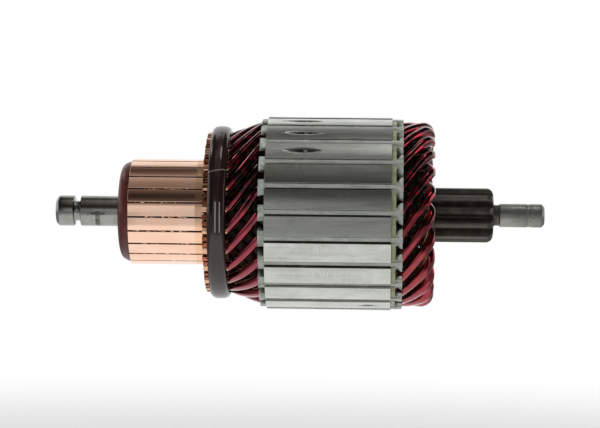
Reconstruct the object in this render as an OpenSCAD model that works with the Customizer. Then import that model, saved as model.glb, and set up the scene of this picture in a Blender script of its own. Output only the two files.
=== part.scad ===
// Armature of a permanent-magnet starter motor with a planetary reduction.
//
// The shaft lies along X, with the commutator end at -X and the gear end at +X.
// The origin is on the shaft axis, at the middle of the commutator-end journal.
// Angles about the axis are measured from the -Y side, and grow downwards there.
// Every coil is one hairpin: one leg in the outer layer of a slot, a nose at the
// gear end, and the other leg in the inner layer, coil_span slots further on.

/* [Shaft] */
// Diameter of the commutator-end journal
journal_d = 8.5; // [7:0.1:9.5]
// Length of that journal, between the clip groove and the moulding
journal_len = 10.2; // [8:0.1:14]
// Diameter at the bottom of the clip groove
clip_groove_d = 5.6; // [4:0.1:6.5]
// Width of the clip groove
clip_groove_w = 1.85; // [1:0.05:2.4]
// Length of the stub outside the clip groove
stub_len = 5.05; // [3:0.05:8]
// Diameter that the commutator is moulded on
commutator_seat_d = 10; // [9.6:0.1:12]
// Diameter that the lamination stack is pressed on
core_seat_d = 13.2; // [12.4:0.1:15]
// Diameter of the neck beside the sun gear
neck_d = 5.8; // [5:0.1:6.2]
// Length of the neck
neck_len = 1.85; // [1:0.05:4]
// Diameter of the gear-end journal
drive_journal_d = 6.55; // [6.3:0.05:8]
// Length of the gear-end journal
drive_journal_len = 12.45; // [8:0.05:16]
// Chamfer of the two ends of the shaft
end_chamfer = 0.8; // [0.3:0.1:1.2]

/* [Sun gear] */
// Number of teeth
gear_teeth = 11; // [9:1:15]
// Module of the teeth
gear_module = 1.2; // [1:0.05:1.3]
// Diameter over the tips of the teeth
gear_tip_d = 15.3; // [14.8:0.1:16]
// Length of the toothed part
gear_len = 20; // [12:0.5:26]
// Distance from the insulating disc to the start of the teeth
gear_gap = 7.15; // [6:0.05:14]
// Rounding of the tooth tips at the free end
gear_end_round = 1.2; // [0.4:0.1:1.6]

/* [Commutator] */
// Number of slots in the stack, of bars and of hairpins
slot_count = 23; // [23]
// Diameter of the brush track
brush_track_d = 29.5; // [28.5:0.1:31]
// Length of the brush track, up to the risers
brush_track_len = 21.2; // [16:0.1:28]
// Depth of the bars under the brush track
bar_depth = 4.95; // [3.5:0.05:5.5]
// Width of the gap between two bars
bar_gap = 0.45; // [0.3:0.05:0.7]
// Depth of the undercut between two bars
undercut = 0.6; // [0.3:0.05:0.9]
// How far the risers stay below the outside of the stack
riser_drop = 4.55; // [4:0.05:4.8]
// Thickness of the risers along the shaft
riser_t = 4.2; // [3:0.1:6]
// Spare width of the conductor slot in each riser
riser_slot_spare = 0.6; // [0.2:0.05:0.7]
// Angle of the commutator against the slots of the stack
commutator_shift = -1.83; // [-5:0.01:5]
// Length of the moulded dome before the bars
dome_len = 4.4; // [3:0.1:6]

/* [Core] */
// Diameter of the lamination stack
core_d = 54; // [53.4:0.1:56]
// Length of the lamination stack
core_len = 34.45; // [26:0.05:48]
// Distance from the risers to the stack
commutator_gap = 12.8; // [12:0.1:16]
// Width of the slot mouth between two teeth
slot_mouth_w = 1.8; // [1.2:0.1:2.6]
// Thickness of the tooth tips beside the mouth
tooth_tip_t = 0.85; // [0.75:0.05:1.2]
// Thickness of the insulating disc on the gear-end face
end_disc_t = 1.2; // [0.8:0.1:2]
// How far the rim of the insulating disc lies inside that of the stack
end_disc_inset = 0.5; // [0.3:0.05:0.6]
// Depth of the balancing cuts in the teeth
balance_depth = 0.5; // [0.2:0.05:0.8]
// Width of the balancing cuts
balance_w = 1.7; // [1:0.1:2.4]

/* [Winding] */
// Width of the hairpin wire
wire_w = 2.6; // [2.3:0.05:2.7]
// Height of the hairpin wire, along the radius
wire_h = 3; // [2.6:0.05:3]
// Gap between the two layers of the winding
layer_gap = 0.8; // [0.6:0.05:1]
// Slots between the two legs of a hairpin
coil_span = 4; // [4]
// How far the noses stand out past the insulating disc
nose_overhang = 10.7; // [9.5:0.1:14]
// Thickness of the slot liners
liner_t = 0.25; // [0.15:0.05:0.3]
// How far the liner cuffs stand out at the commutator end
cuff_len = 1.8; // [1:0.1:2.4]
// How far the liner cuffs stand out past the insulating disc
drive_cuff_len = 1.9; // [1:0.1:2.4]
// Clearance between neighbouring pieces of the winding
winding_clearance = 0.05; // [0.03:0.01:0.08]

/* [Band] */
// Thickness of the banding ring
band_t = 1.8; // [1.6:0.05:2.4]
// Width of the banding ring
band_w = 5.2; // [4.5:0.1:6.5]
// Rounding of the two outer edges of the band
band_round = 1.5; // [0.6:0.1:1.6]
// How far the risers stand out from under the band
riser_showing = 1.3; // [0.5:0.1:2]

/* [Hidden] */
BARS = [for (i = [1 : 23]) str("commutator_bar_", i < 10 ? "0" : "", i)];
HAIRPINS = [for (i = [1 : 23]) str("hairpin_", i < 10 ? "0" : "", i)];
$fn = 96;
eps = 0.02;

pitch = 360 / slot_count;
// A piece at angle 0 faces -Y.
front = -90;

// Stations along the shaft.
journal_end = journal_len / 2;
groove_start = -journal_len / 2;
shaft_start = groove_start - clip_groove_w - stub_len;
bars_start = journal_end + dome_len;
riser_start = bars_start + brush_track_len;
riser_end = riser_start + riser_t;
core_start = riser_end + commutator_gap;
core_end = core_start + core_len;
disc_end = core_end + end_disc_t;
nose_tip = disc_end + nose_overhang;
gear_start = disc_end + gear_gap;
gear_end = gear_start + gear_len;
drive_journal_start = gear_end + neck_len;
shaft_end = drive_journal_start + drive_journal_len;
core_seat_start = core_start - 3;
core_seat_end = disc_end + 2;
moulding_end = riser_end + 1.5;
drive_seat_len = 7.55;
oil_ring_start = drive_journal_start + drive_seat_len;
oil_ring_w = 1;
oil_ring_depth = 0.25;

// The journal runs this far into the recess of the moulding.
journal_tail = 0.6;
edge_break = 0.15;
fillet_r = 0.6;
seat_chamfer = 1;
// The teeth run out into a collar that stays a little below their tips.
collar_drop = 0.25;
collar_lead = 1.4;
collar_edge = 0.1;
collar_len = 0.6;
run_out_len = 2.4;
// Angle of one tooth from the front, and how much thicker than its gap it is.
gear_turn = 23.45;
tooth_growth = 1.12;
gear_root_r = gear_tip_d / 2 - 2.25 * gear_module;

// Slots of the stack, and what fills them.
slot_half_w = wire_w / 2 + liner_t + 2 * winding_clearance;
cavity_half_w = wire_w / 2 + winding_clearance;
slot_top_r = core_d / 2 - tooth_tip_t;
cavity_top_r = slot_top_r - liner_t - winding_clearance;
outer_layer_r = cavity_top_r - winding_clearance - wire_h / 2;
inner_layer_r = outer_layer_r - wire_h - layer_gap;
cavity_bottom_r = inner_layer_r - wire_h / 2 - winding_clearance;
slot_bottom_r = cavity_bottom_r - liner_t - winding_clearance;
end_disc_d = core_d - 2 * end_disc_inset;
layer_middle_r = (outer_layer_r + inner_layer_r) / 2;
cuff_roof_t = 0.35;
cuff_roof_half_w = cavity_half_w + 0.85;
drive_cuff_roof_half_w = cavity_half_w + 1.15;
drive_cuff_start_half_w = cavity_half_w + 0.15;
// Each liner closes its slot's mouth with a strip that leaves a gap at one side.
strip_gap = 0.5;
strip_drop = 0.3;
// Share of the room between two slots that one wall of a cuff takes up.
outer_wall_share = 0.19;
inner_wall_share = 0.155;
outer_wall_t = outer_wall_share * (2 * PI * outer_layer_r / slot_count - 2 * cavity_half_w);
inner_wall_t = inner_wall_share * (2 * PI * inner_layer_r / slot_count - 2 * cavity_half_w);

// Conductors in the risers.
riser_d = core_d - 2 * riser_drop;
riser_outer_r = riser_d / 2 - wire_h / 2 - winding_clearance;
riser_inner_r = riser_outer_r - wire_h - 2 * winding_clearance;
riser_slot_bottom_r = riser_inner_r - wire_h / 2 - 2 * winding_clearance;
riser_slot_w = wire_w + riser_slot_spare;
// The conductors lie against one wall of the riser slot.
conductor_offset = riser_slot_spare / 2 - 1.2 * winding_clearance;

// Bends of the hairpins.
bend_margin = 0.2;
start_bend = 1.65;
drive_margin = 0.15;
drive_bend = 1.3;
// A wider wire starts its bend sooner.
straight_under_band = 4.3 - wire_w;
nose_r = (outer_layer_r - inner_layer_r) / 2;
nose_start = nose_tip - nose_r - wire_h / 2;
twist_start = core_start - bend_margin;
twist_end = riser_end + straight_under_band;
twist_len = twist_start - twist_end;
drive_start = disc_end + drive_margin;
drive_leg = nose_start - drive_start;
nose_path = nose_r * PI / 2;
half_span = coil_span / 2 * pitch;
drive_rate = half_span / (drive_leg + nose_path - drive_bend / 2);
wire_chamfer = 0.65;

band_start = riser_start + riser_showing;
band_bore_d = riser_d + 4 * winding_clearance;
band_d = band_bore_d + 2 * band_t;

// The bars are anchored in the moulding by hooks at both ends.
bar_edge = 0.3;
hook_len = 2.2;
hook_tip_len = 1.1;
bar_root_r = brush_track_d / 2 - bar_depth;
bar_neck_r = bar_root_r + 2.1;
bar_shoulder_r = bar_root_r + 2.9;
// Balancing cuts: the tooth, the middle of the cut from the commutator-end face
// of the stack, and its length.
balance_cuts = [[-5, 9.7, 12], [-4, 10.2, 11.5], [-3, 10.2, 10.5], [4, 28.1, 6.5]];

copper_colour = [0.84, 0.66, 0.56];
steel_colour = [0.55, 0.55, 0.53];

// Turns what was made along Z so that it lies along the shaft.
module along_shaft() {
    rotate([0, 90, 0]) children();
}

// Copies a piece to every slot, starting at the one that faces -Y.
module at_each_slot() {
    for (i = [0 : slot_count - 1]) rotate([0, 0, front + i * pitch]) children();
}

// ---------------------------------------------------------------- shaft

// Involute flank, as points from the base circle out to the tip.
function involute(base_r, roll) =
    base_r * [cos(roll) + roll * PI / 180 * sin(roll),
              sin(roll) - roll * PI / 180 * cos(roll)];
function turned(p, a) = [p[0] * cos(a) - p[1] * sin(a), p[0] * sin(a) + p[1] * cos(a)];

module gear_outline() {
    pitch_r = gear_teeth * gear_module / 2;
    pressure_angle = 20;
    base_r = pitch_r * cos(pressure_angle);
    tip_r = gear_tip_d / 2;
    tip_roll = sqrt(pow(tip_r / base_r, 2) - 1) * 180 / PI;
    pitch_roll = tan(pressure_angle) * 180 / PI;
    // Half of the tooth's angle at the base circle, for a tooth a little thicker
    // than its gap, as a pinion with few teeth has.
    half_tooth = 90 / gear_teeth * tooth_growth + pitch_roll - pressure_angle;
    steps = 5;
    flank = [for (i = [0 : steps]) turned(involute(base_r, tip_roll * i / steps), -half_tooth)];
    foot = turned([gear_root_r - 0.4, 0], -half_tooth - 1.5);
    half = concat([foot], flank);
    other = [for (i = [len(half) - 1 : -1 : 0]) [half[i][0], -half[i][1]]];
    outline = concat(half, other);
    polygon([for (t = [0 : gear_teeth - 1]) for (p = outline) turned(p, t * 360 / gear_teeth)]);
}

module sun_gear() {
    intersection() {
        translate([0, 0, gear_start]) rotate([0, 0, front + gear_turn])
            linear_extrude(gear_len) gear_outline();
        rotate_extrude() gear_blank();
    }
}

// Outline of the gear before its teeth are cut, with rounded tips at the free end.
module gear_blank() {
    r = gear_tip_d / 2 + eps;
    arc = [for (i = [0 : 4]) [r - gear_end_round * (1 - cos(i * 22.5)),
                              gear_end - gear_end_round * (1 - sin(i * 22.5))]];
    polygon(concat([[0, gear_start - eps], [r, gear_start - eps]],
                   [for (p = arc) [p[0], p[1]]],
                   [[0, gear_end]]));
}

module shaft() {
    journal_r = journal_d / 2;
    drive_r = drive_journal_d / 2;
    seat_r = commutator_seat_d / 2;
    core_r = core_seat_d / 2;
    neck_r = neck_d / 2;
    collar_r = gear_tip_d / 2 - collar_drop;
    fillet = [for (i = [0 : 4]) let (a = i * 22.5)
        [neck_r + fillet_r * (1 - sin(a)), gear_end + fillet_r * (1 - cos(a))]];
    color(steel_colour) along_shaft() {
        difference() {
            union() {
                rotate_extrude() polygon(concat([
                    [0, shaft_start],
                    [journal_r - end_chamfer, shaft_start],
                    [journal_r, shaft_start + end_chamfer],
                    [journal_r, groove_start - clip_groove_w - edge_break],
                    [journal_r - edge_break, groove_start - clip_groove_w],
                    [clip_groove_d / 2, groove_start - clip_groove_w],
                    [clip_groove_d / 2, groove_start],
                    [journal_r - edge_break, groove_start],
                    [journal_r, groove_start + edge_break],
                    [journal_r, journal_end + journal_tail],
                    [seat_r - 2 * edge_break, journal_end + journal_tail],
                    [seat_r, journal_end + journal_tail + 2 * edge_break],
                    [seat_r, core_seat_start - (core_r - seat_r)],
                    [core_r, core_seat_start],
                    [core_r, core_seat_end],
                    [core_r - seat_chamfer, core_seat_end + seat_chamfer],
                    [core_r - seat_chamfer, gear_start - collar_lead],
                    [collar_r, gear_start - collar_edge],
                    [collar_r, gear_start + collar_len],
                    [gear_root_r, gear_start + run_out_len],
                    [gear_root_r, gear_end - fillet_r],
                    [neck_r + fillet_r, gear_end]], fillet, [
                    [neck_r, drive_journal_start - 2 * edge_break],
                    [drive_r, drive_journal_start],
                    [drive_r, oil_ring_start],
                    [drive_r - oil_ring_depth, oil_ring_start + edge_break],
                    [drive_r - oil_ring_depth, oil_ring_start + oil_ring_w - edge_break],
                    [drive_r, oil_ring_start + oil_ring_w],
                    [drive_r, shaft_end - end_chamfer],
                    [drive_r - end_chamfer, shaft_end],
                    [0, shaft_end]]));
                sun_gear();
            }
            lathe_centre(shaft_start, 1);
            lathe_centre(shaft_end, -1);
        }
    }
}

// Centre hole that the shaft was turned on.
module lathe_centre(z, side) {
    translate([0, 0, z]) mirror([0, 0, side > 0 ? 0 : 1]) {
        translate([0, 0, -eps]) cylinder(h = 1.3 + eps, r1 = 1.3, r2 = 0.55);
        cylinder(h = 2.4, r = 0.55);
    }
}

// ----------------------------------------------------------- commutator

// One bar with its riser, facing angle 0, without the conductor slot.
module bar_body() {
    track_r = brush_track_d / 2;
    half = pitch / 2;
    apex = bar_gap / 2 / sin(half);
    far = riser_d;
    intersection() {
        rotate_extrude() polygon([
            [track_r - bar_edge, bars_start],
            [track_r, bars_start + bar_edge],
            [track_r, riser_start],
            [riser_d / 2 - bar_edge, riser_start],
            [riser_d / 2, riser_start + bar_edge],
            [riser_d / 2, riser_end],
            [bar_shoulder_r, riser_end],
            [bar_neck_r, riser_end - hook_len],
            [bar_root_r, riser_end - hook_tip_len],
            [bar_root_r, bars_start + hook_tip_len],
            [bar_neck_r, bars_start + hook_len],
            [bar_shoulder_r, bars_start]]);
        translate([0, 0, bars_start - 1]) linear_extrude(riser_end - bars_start + 2)
            polygon([[apex, 0], [far, (far - apex) * tan(half)], [far, -(far - apex) * tan(half)]]);
    }
}

module commutator_bar(i) {
    color(copper_colour) along_shaft()
        rotate([0, 0, front + commutator_shift + i * pitch])
            difference() {
                bar_body();
                translate([riser_slot_bottom_r, -riser_slot_w / 2, riser_start - 1])
                    cube([riser_d, riser_slot_w, riser_t + 2]);
            }
}

module commutator_moulding() {
    track_r = brush_track_d / 2;
    fin_r = track_r - undercut;
    bore_r = commutator_seat_d / 2;
    dome_r = fin_r - 0.1;
    // Behind the risers the moulding stays under the conductors.
    back_r = min(fin_r, riser_slot_bottom_r) - 1;
    face_r = bore_r + 3;
    face_start = journal_end + 0.4;
    dome_end = bars_start - 0.3;
    // The dome before the bars is a quarter of an ellipse.
    dome = [for (i = [0 : 6]) let (a = i * 15)
        [face_r + (dome_r - face_r) * sin(a), dome_end - (dome_end - face_start) * cos(a)]];
    color([0.36, 0.18, 0.15]) along_shaft() difference() {
        rotate_extrude() polygon(concat(
            [[bore_r, journal_end]],
            dome,
            [[dome_r, bars_start + 0.3],
             [fin_r, bars_start + 0.4],
             [fin_r, riser_end - 0.8],
             [back_r, riser_end - 0.8],
             [back_r, moulding_end],
             [bore_r, moulding_end]]));
        for (i = [0 : slot_count - 1])
            rotate([0, 0, front + commutator_shift + i * pitch]) bar_body();
    }
}

// ----------------------------------------------------------------- core

// Cross-section of one slot without its mouth, facing angle 0.
module slot_section(grow = 0) {
    w = slot_half_w + grow;
    top = slot_top_r + grow;
    bottom = slot_bottom_r - grow;
    corner = 0.35;
    polygon([
        [bottom, -w + corner], [bottom + corner, -w],
        [top - corner, -w], [top, -w + corner],
        [top, w - corner], [top - corner, w],
        [bottom + corner, w], [bottom, w - corner]]);
}

module slot_mouth() {
    half = slot_mouth_w / 2;
    tip = core_d / 2 - slot_top_r;
    polygon([
        [slot_top_r - 0.1, -half - 0.3], [slot_top_r + 0.2, -half - 0.3],
        [slot_top_r + 0.5 * tip, -half], [core_d / 2 + 1, -half],
        [core_d / 2 + 1, half], [slot_top_r + 0.5 * tip, half],
        [slot_top_r + 0.2, half + 0.3], [slot_top_r - 0.1, half + 0.3]]);
}

// A shallow cut along a tooth, made by a wheel with a V-shaped rim. The wheel's
// axle lies across the shaft, so the cut ends in two points.
module balance_cut(tooth, middle, length) {
    wheel_r = length * length / 8 / balance_depth;
    wheel_half_t = wheel_r * balance_w / 2 / balance_depth;
    rotate([0, 0, front + (tooth + 0.5) * pitch])
        translate([core_d / 2 - balance_depth + wheel_r, 0, core_start + middle])
            rotate([90, 0, 0]) rotate_extrude()
                polygon([[0, -wheel_half_t], [wheel_r, 0], [0, wheel_half_t]]);
}

module lamination_stack() {
    color([0.62, 0.63, 0.60]) along_shaft() difference() {
        translate([0, 0, core_start]) cylinder(h = core_len, d = core_d);
        translate([0, 0, core_start - 1]) cylinder(h = core_len + 2, d = core_seat_d);
        at_each_slot() translate([0, 0, core_start - 1]) linear_extrude(core_len + 2) {
            slot_section();
            slot_mouth();
        }
        for (cut = balance_cuts) balance_cut(cut[0], cut[1], cut[2]);
    }
}

module end_insulator() {
    color([0.70, 0.72, 0.60]) along_shaft() difference() {
        translate([0, 0, core_end]) cylinder(h = end_disc_t, d = end_disc_d);
        translate([0, 0, core_end - 1]) cylinder(h = end_disc_t + 2, d = core_seat_d + 0.1);
        at_each_slot() translate([0, 0, core_end - 1]) linear_extrude(end_disc_t + 2) {
            slot_section();
            slot_mouth();
        }
    }
}

// -------------------------------------------------------------- winding

module liner_cavity() {
    translate([cavity_bottom_r, -cavity_half_w])
        square([cavity_top_r - cavity_bottom_r, 2 * cavity_half_w]);
}

// Cuff of one liner. The two conductors leave it sideways: the one in the outer
// layer on one side, the one in the inner layer on the other.
// The roof widens from start_half_w to end_half_w over the length.
module cuff(length, start_half_w, end_half_w, side) {
    inner_top_r = inner_layer_r + wire_h / 2;
    roof_r = cavity_top_r + winding_clearance;
    translate([roof_r, 0, 0]) rotate([0, 90, 0]) linear_extrude(cuff_roof_t)
        polygon([[0, -start_half_w], [0, start_half_w],
                 [-length, end_half_w], [-length, -end_half_w]]);
    linear_extrude(length) mirror([0, side > 0 ? 0 : 1]) {
        translate([layer_middle_r, -cavity_half_w - outer_wall_t])
            square([roof_r + winding_clearance - layer_middle_r, outer_wall_t]);
        translate([cavity_bottom_r, cavity_half_w])
            square([inner_top_r - cavity_bottom_r, inner_wall_t]);
    }
}

module mouth_strip() {
    strip_w = slot_mouth_w - winding_clearance - strip_gap;
    bottom_r = cavity_top_r + liner_t / 2;
    translate([bottom_r, winding_clearance - slot_mouth_w / 2])
        square([core_d / 2 - strip_drop - bottom_r, strip_w]);
}

module slot_liner() {
    translate([0, 0, core_start]) linear_extrude(disc_end - core_start) difference() {
        slot_section(-winding_clearance);
        liner_cavity();
    }
    translate([0, 0, core_start]) linear_extrude(disc_end + drive_cuff_len - core_start)
        mouth_strip();
    translate([0, 0, core_start - cuff_len])
        cuff(cuff_len, cuff_roof_half_w, cuff_roof_half_w, 1);
    translate([0, 0, disc_end])
        cuff(drive_cuff_len, drive_cuff_start_half_w, drive_cuff_roof_half_w, -1);
}

module slot_liners() {
    color([0.62, 0.65, 0.60]) along_shaft() at_each_slot() slot_liner();
}

// Share of a bend's turn that is done after the distance d. The rate rises over
// the length bend, stays, and falls again over the last bend of the length whole.
function eased(d, whole, bend) =
    d <= 0 ? 0
    : d < bend ? d * d / 2 / bend / (whole - bend)
    : d <= whole - bend ? (d - bend / 2) / (whole - bend)
    : d < whole ? 1 - (whole - d) * (whole - d) / 2 / bend / (whole - bend)
    : 1;
function eased_rate(d, whole, bend) =
    d <= 0 || d >= whole ? 0
    : min(d / bend, 1, (whole - d) / bend) / (whole - bend);

function unit(v) = v / norm(v);

// Cross-section of the wire: across it, then through it.
wire_outline = let (w = wire_w / 2, h = wire_h / 2, c = wire_chamfer)
    [[w, -h + c], [w, h - c], [w - c, h], [-w + c, h],
     [-w, h - c], [-w, -h + c], [-w + c, -h], [w - c, -h]];

// One ring of points round the wire at the station z, the radius r and the angle a.
// along and outward say how the wire runs beside the shaft and away from it, and
// sideways how far it runs round the shaft meanwhile.
function ring(z, r, a, along, outward, sideways) =
    let (radial = [cos(a), sin(a), 0], round = [-sin(a), cos(a), 0], axial = [0, 0, 1],
         tangent = unit(along * axial + outward * radial + sideways * round),
         normal = unit(along * radial - outward * axial),
         across = cross(tangent, normal))
    [for (q = wire_outline) z * axial + r * radial + q[0] * across + q[1] * normal];

// Ring in the twisted stretch between the riser and the stack, at the distance d
// from the stack. way is 1 in the outer leg, which runs towards the nose, and -1
// in the inner leg, which runs away from it.
function riser_side_ring(d, way, slot_angle, slot_r, riser_angle, riser_r) =
    let (share = eased(d, twist_len, start_bend),
         rate = eased_rate(d, twist_len, start_bend),
         r = slot_r + (riser_r - slot_r) * share,
         a = slot_angle + (riser_angle - slot_angle) * share,
         drop = (riser_r - slot_r) * rate,
         turn = (riser_angle - slot_angle) * rate * PI / 180 * r,
         slope = sqrt(1 + drop * drop))
    ring(twist_start - d, r, a, way / slope, -way * drop / slope, -way * turn / slope);

// Ring in the stretch between the stack and the middle of the nose, at the
// distance s along the leg. way is as above.
function nose_side_ring(s, way, slot_angle, leg_r) =
    let (turned_angle = drive_rate * (s < drive_bend ? s * s / 2 / drive_bend : s - drive_bend / 2),
         rate = drive_rate * min(1, s / drive_bend) * PI / 180,
         bow = max(0, (s - drive_leg) / nose_r * 180 / PI),
         z = s < drive_leg ? drive_start + s : nose_start + nose_r * sin(bow),
         r = layer_middle_r + way * nose_r * cos(bow),
         a = slot_angle - way * turned_angle)
    ring(z, r, a, way * cos(bow), -sin(bow), -rate * r);

function reversed(list) = [for (i = [len(list) - 1 : -1 : 0]) list[i]];

// Rings of one leg, from its end in the riser to the nose.
function leg_rings(way, slot_angle, slot_r, riser_angle, riser_r) =
    let (middle = twist_len - 2 * start_bend,
         twist_stops = [twist_len, twist_len - start_bend / 2, twist_len - start_bend,
                        start_bend + middle * 2 / 3, start_bend + middle / 3,
                        start_bend, start_bend / 2, 0],
         nose_stops = [0, drive_bend / 2, drive_bend, (drive_bend + drive_leg) / 2, drive_leg,
                       drive_leg + nose_path * 0.25, drive_leg + nose_path * 0.5,
                       drive_leg + nose_path * 0.75])
    concat(
        [ring(riser_start + 0.05, riser_r, riser_angle, way, 0, 0)],
        [for (d = twist_stops) riser_side_ring(d, way, slot_angle, slot_r, riser_angle, riser_r)],
        [for (s = nose_stops) nose_side_ring(s, way, slot_angle, slot_r)]);

module hairpin(i) {
    outer_angle = front + i * pitch;
    inner_angle = outer_angle - coil_span * pitch;
    shift = commutator_shift;
    outer_riser = outer_angle + half_span + shift - conductor_offset / riser_outer_r * 180 / PI;
    inner_riser = inner_angle - half_span + shift - conductor_offset / riser_inner_r * 180 / PI;
    rings = concat(
        leg_rings(1, outer_angle, outer_layer_r, outer_riser, riser_outer_r),
        [nose_side_ring(drive_leg + nose_path, 1, outer_angle, outer_layer_r)],
        reversed(leg_rings(-1, inner_angle, inner_layer_r, inner_riser, riser_inner_r)));
    sides = len(wire_outline);
    last = len(rings) - 1;
    points = [for (one = rings) for (p = one) p];
    faces = concat(
        [[for (k = [0 : sides - 1]) k]],
        [for (n = [0 : last - 1]) for (k = [0 : sides - 1])
            let (a = n * sides + k, b = n * sides + (k + 1) % sides)
            each [[a, a + sides, b], [b, a + sides, b + sides]]],
        [[for (k = [sides - 1 : -1 : 0]) last * sides + k]]);
    color([0.45, 0.10, 0.14]) along_shaft() polyhedron(points, faces);
}

module winding_band() {
    inner = band_bore_d / 2;
    outer = band_d / 2;
    color([0.14, 0.12, 0.12]) along_shaft() rotate_extrude() intersection() {
        translate([inner, band_start]) square([outer - inner, band_w]);
        union() {
            translate([0, band_start]) square([outer - band_round, band_w]);
            translate([0, band_start + band_round]) square([outer, band_w - 2 * band_round]);
            for (z = [band_start + band_round, band_start + band_w - band_round])
                translate([outer - band_round, z]) circle(band_round);
        }
    }
}

shaft();
commutator_moulding();
for (i = [0 : slot_count - 1])
    commutator_bar(i);
lamination_stack();
end_insulator();
slot_liners();
for (i = [0 : slot_count - 1])
    hairpin(i);
winding_band();
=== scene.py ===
import random
from math import asin, atan, atan2, copysign, cos, degrees, exp, hypot, pi, radians, sin, sqrt, tan

import bpy
import bmesh
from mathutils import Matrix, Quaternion, Vector, noise


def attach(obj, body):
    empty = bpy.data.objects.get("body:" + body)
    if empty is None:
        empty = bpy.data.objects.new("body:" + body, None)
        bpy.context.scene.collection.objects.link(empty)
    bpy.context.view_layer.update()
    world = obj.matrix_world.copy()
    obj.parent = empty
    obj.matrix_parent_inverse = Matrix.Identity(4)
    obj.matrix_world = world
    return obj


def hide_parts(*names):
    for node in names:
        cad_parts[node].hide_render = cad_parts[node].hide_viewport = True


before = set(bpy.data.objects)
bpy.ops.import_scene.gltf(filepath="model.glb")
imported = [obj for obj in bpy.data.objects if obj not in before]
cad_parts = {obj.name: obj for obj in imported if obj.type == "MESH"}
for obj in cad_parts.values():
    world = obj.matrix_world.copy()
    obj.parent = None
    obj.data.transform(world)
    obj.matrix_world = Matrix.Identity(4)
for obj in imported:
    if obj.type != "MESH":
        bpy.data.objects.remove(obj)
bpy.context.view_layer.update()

# Lengths are in millimetres along the shaft (x) and out from it (r). Angles are in
# degrees from the side that faces the camera, growing downwards there.
MM = 0.001
SLOTS = 23
PITCH = 360 / SLOTS
SHAFT_START, SHAFT_END = -12.0, 124.8
BARS_START, RISER_START, RISER_END = 9.5, 30.7, 34.9
BAND_START, BAND_END = 32.0, 37.2
CORE_START, CORE_END, DISC_END, NOSE_TIP = 47.7, 82.15, 83.35, 94.05
GEAR_START, GEAR_END = 90.5, 110.5
TRACK_R, RISER_R, CORE_R, DISC_R = 14.75, 22.45, 27.0, 26.5
SLOT_TOP_R, SLOT_BOTTOM_R = 26.15, 18.65
SLOT_HALF, MOUTH_HALF = 1.65, 0.9
SHEET = 0.5

WIRE_W, WIRE_H = 2.6, 3.0
OUTER_R, INNER_R = 24.3, 20.5
RISER_OUTER_R, RISER_INNER_R = 20.9, 17.8
RISER_OFFSET = 0.24
HALF_SPAN = 2 * PITCH
TWIST_START, TWIST_END, TWIST_BEND = 47.5, 36.6, 1.65
TWIST_LEN = TWIST_START - TWIST_END
DRIVE_START, DRIVE_BEND = 83.5, 1.3
NOSE_R = (OUTER_R - INNER_R) / 2
NOSE_START = NOSE_TIP - NOSE_R - WIRE_H / 2
DRIVE_LEG = NOSE_START - DRIVE_START
NOSE_PATH = NOSE_R * pi / 2
DRIVE_RATE = HALF_SPAN / (DRIVE_LEG + NOSE_PATH - DRIVE_BEND / 2)
MIDDLE_R = (OUTER_R + INNER_R) / 2


def at(x, r, angle):
    a = radians(angle)
    return Vector((x * MM, -r * cos(a) * MM, -r * sin(a) * MM))


def spread(low, high, count):
    return [low + (high - low) * k / count for k in range(count + 1)]


def put(name, data):
    """A new object in the scene."""
    obj = bpy.data.objects.new(name, data)
    bpy.context.scene.collection.objects.link(obj)
    return obj


def mesh_piece(name, verts, faces, mats, sharp, face_mats=None):
    """A closed mesh as a new object, smooth, with edges sharper than `sharp` degrees kept."""
    mesh = bpy.data.meshes.new(name)
    mesh.from_pydata([tuple(v) for v in verts], [], faces)
    for mat in mats:
        mesh.materials.append(mat)
    if face_mats:
        mesh.polygons.foreach_set("material_index", face_mats)
    bm = bmesh.new()
    bm.from_mesh(mesh)
    bmesh.ops.recalc_face_normals(bm, faces=bm.faces)
    bm.to_mesh(mesh)
    bm.free()
    mesh.polygons.foreach_set("use_smooth", [True] * len(mesh.polygons))
    mesh.set_sharp_from_angle(angle=radians(sharp))
    return put(name, mesh)


def bevel(obj, width, segments=2, angle=40):
    mod = obj.modifiers.new("edges", "BEVEL")
    mod.width = width * MM
    mod.segments = segments
    mod.limit_method = "ANGLE"
    mod.angle_limit = radians(angle)
    mod.harden_normals = True


def stand_for(obj, slot, *nodes):
    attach(obj, "root")
    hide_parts(*nodes)


# --- materials

def colour_of(value):
    """A socket's colour, from sRGB steps of 0 to 255 or from one number for a linear grey."""
    if isinstance(value, (int, float)):
        return (value, value, value, 1)
    if isinstance(value, tuple):
        steps = [c / 255 for c in value]
        return tuple(c / 12.92 if c <= 0.04045 else ((c + 0.055) / 1.055) ** 2.4 for c in steps) + (1,)
    return value


def feed(tree, socket, value):
    """Links a socket to another one, or gives it a plain value."""
    if isinstance(value, bpy.types.NodeSocket):
        tree.links.new(value, socket)
    else:
        socket.default_value = value


def add_node(tree, kind, inputs=None, **props):
    node = tree.nodes.new(kind)
    for key, value in props.items():
        setattr(node, key, value)
    for key, value in (inputs or {}).items():
        feed(tree, node.inputs[key], value)
    return node


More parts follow.
